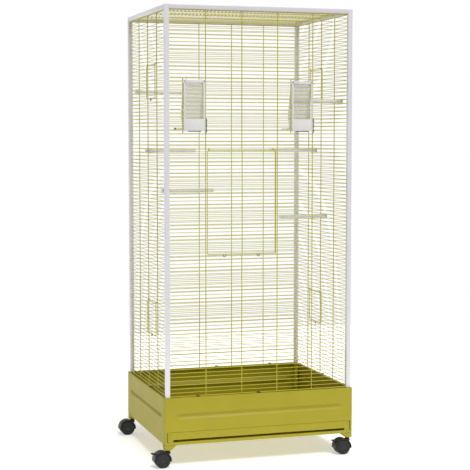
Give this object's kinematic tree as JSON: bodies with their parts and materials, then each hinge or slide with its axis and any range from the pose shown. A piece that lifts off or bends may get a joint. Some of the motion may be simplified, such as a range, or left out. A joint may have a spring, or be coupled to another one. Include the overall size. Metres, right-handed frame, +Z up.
{
  "type": "bird cage on stand",
  "caption": "Tall wire flight cage on a sheet-metal base with slide-out tray, hinged doors, hooded feeders, perches and swivel casters.",
  "frame": {"origin": "on the floor under the middle of the whole outline, casters and brake tabs included, which puts the middle of the cage itself 21.7 mm towards +X", "axes": "+Z up, the main door and the tray face -Y, +X to the right of someone facing the front"},
  "size_m": [0.6954, 0.5432, 1.4892],
  "materials": {
    "frame": "white gloss enamel on square steel tube",
    "wire": "olive-yellow enamel on welded steel wire",
    "base": "olive-yellow enamel on sheet steel",
    "plastic": "satin white moulded plastic",
    "caster": "matt black moulded plastic"
  },
  "bodies": {
    "root": {"post_front_left": "frame", "corner_foot_front_left": "base", "post_front_right": "frame", "corner_foot_front_right": "base", "post_rear_left": "frame", "corner_foot_rear_left": "base", "post_rear_right": "frame", "corner_foot_rear_right": "base", "top_rail_front": "frame", "base_front": "base", "front_panel_wires": "wire", "front_panel_uprights": "wire", "top_rail_rear": "frame", "base_rear": "base", "rear_panel_wires": "wire", "rear_panel_uprights": "wire", "top_rail_left": "frame", "base_left": "base", "left_panel_wires": "wire", "left_panel_uprights": "wire", "top_rail_right": "frame", "base_right": "base", "right_panel_wires": "wire", "right_panel_uprights": "wire", "roof_wires": "wire", "roof_cross_wires": "wire", "tray_runner_left": "base", "tray_runner_right": "base", "feeder_cup_left": "plastic", "feeder_hood_left": "plastic", "feeder_door_hinge_left": "wire", "perch_left_1": "plastic", "perch_left_2": "plastic", "perch_left_3": "plastic", "feeder_cup_right": "plastic", "feeder_hood_right": "plastic", "feeder_door_hinge_right": "wire", "perch_right_1": "plastic", "perch_right_2": "plastic", "perch_right_3": "plastic"},
    "main_door": {"main_door": "wire"},
    "tray": {"tray": "base"},
    "left_lower_door": {"left_lower_door": "wire"},
    "left_upper_door": {"left_upper_door": "wire"},
    "right_lower_door": {"right_lower_door": "wire"},
    "right_upper_door": {"right_upper_door": "wire"},
    "feeder_door_left": {"feeder_door_left": "plastic"},
    "feeder_door_right": {"feeder_door_right": "plastic"},
    "caster_front_left": {"caster_housing_front_left": "caster"},
    "wheels_front_left": {"caster_wheels_front_left": "caster"},
    "brake_front_left": {"caster_brake_front_left": "caster"},
    "caster_front_right": {"caster_housing_front_right": "caster"},
    "wheels_front_right": {"caster_wheels_front_right": "caster"},
    "brake_front_right": {"caster_brake_front_right": "caster"},
    "caster_rear_left": {"caster_housing_rear_left": "caster"},
    "wheels_rear_left": {"caster_wheels_rear_left": "caster"},
    "caster_rear_right": {"caster_housing_rear_right": "caster"},
    "wheels_rear_right": {"caster_wheels_rear_right": "caster"}
  },
  "joints": [
    {"name": "main_door_hinge", "type": "hinge", "parent": "root", "child": "main_door", "pos_m": [-0.04225, -0.2533, 1.0284], "axis": [-1, 0, 0], "range_deg": [0, 140]},
    {"name": "left_lower_door_hinge", "type": "hinge", "parent": "root", "child": "left_lower_door", "pos_m": [-0.2928, -0.0612, 0.5204], "axis": [0, 1, 0], "range_deg": [0, 140]},
    {"name": "left_upper_door_hinge", "type": "hinge", "parent": "root", "child": "left_upper_door", "pos_m": [-0.2928, -0.0612, 1.3078], "axis": [0, 1, 0], "range_deg": [0, 140]},
    {"name": "right_lower_door_hinge", "type": "hinge", "parent": "root", "child": "right_lower_door", "pos_m": [0.3362, 0.0612, 0.5204], "axis": [0, -1, 0], "range_deg": [0, 140]},
    {"name": "right_upper_door_hinge", "type": "hinge", "parent": "root", "child": "right_upper_door", "pos_m": [0.3362, 0.0612, 1.3078], "axis": [0, -1, 0], "range_deg": [0, 140]},
    {"name": "feeder_door_left_hinge", "type": "hinge", "parent": "root", "child": "feeder_door_left", "pos_m": [-0.1658, -0.2565, 1.1681], "axis": [0, 0, 1], "range_deg": [0, 90]},
    {"name": "feeder_door_right_hinge", "type": "hinge", "parent": "root", "child": "feeder_door_right", "pos_m": [0.2014, -0.2565, 1.1681], "axis": [0, 0, 1], "range_deg": [0, 90]},
    {"name": "tray_slide", "type": "slide", "parent": "root", "child": "tray", "axis": [0, -1, 0], "range_m": [0, 0.42]},
    {"name": "caster_front_left_swivel", "type": "hinge", "parent": "root", "child": "caster_front_left", "pos_m": [-0.2918, -0.2523, 0.054], "axis": [0, 0, 1], "continuous": true},
    {"name": "wheels_front_left_spin", "type": "hinge", "parent": "caster_front_left", "child": "wheels_front_left", "pos_m": [-0.3118, -0.2523, 0.025], "axis": [0, 1, 0], "continuous": true},
    {"name": "brake_front_left_press", "type": "hinge", "parent": "caster_front_left", "child": "brake_front_left", "pos_m": [-0.3337, -0.2523, 0.0465], "axis": [0, 1, 0], "range_deg": [-18, 0]},
    {"name": "caster_front_right_swivel", "type": "hinge", "parent": "root", "child": "caster_front_right", "pos_m": [0.3352, -0.2523, 0.054], "axis": [0, 0, 1], "continuous": true},
    {"name": "wheels_front_right_spin", "type": "hinge", "parent": "caster_front_right", "child": "wheels_front_right", "pos_m": [0.3152, -0.2523, 0.025], "axis": [0, 1, 0], "continuous": true},
    {"name": "brake_front_right_press", "type": "hinge", "parent": "caster_front_right", "child": "brake_front_right", "pos_m": [0.2933, -0.2523, 0.0465], "axis": [0, 1, 0], "range_deg": [-18, 0]},
    {"name": "caster_rear_left_swivel", "type": "hinge", "parent": "root", "child": "caster_rear_left", "pos_m": [-0.2918, 0.2523, 0.054], "axis": [0, 0, 1], "continuous": true},
    {"name": "wheels_rear_left_spin", "type": "hinge", "parent": "caster_rear_left", "child": "wheels_rear_left", "pos_m": [-0.3118, 0.2523, 0.025], "axis": [0, 1, 0], "continuous": true},
    {"name": "caster_rear_right_swivel", "type": "hinge", "parent": "root", "child": "caster_rear_right", "pos_m": [0.3352, 0.2523, 0.054], "axis": [0, 0, 1], "continuous": true},
    {"name": "wheels_rear_right_spin", "type": "hinge", "parent": "caster_rear_right", "child": "wheels_rear_right", "pos_m": [0.3152, 0.2523, 0.025], "axis": [0, 1, 0], "continuous": true}
  ]
}
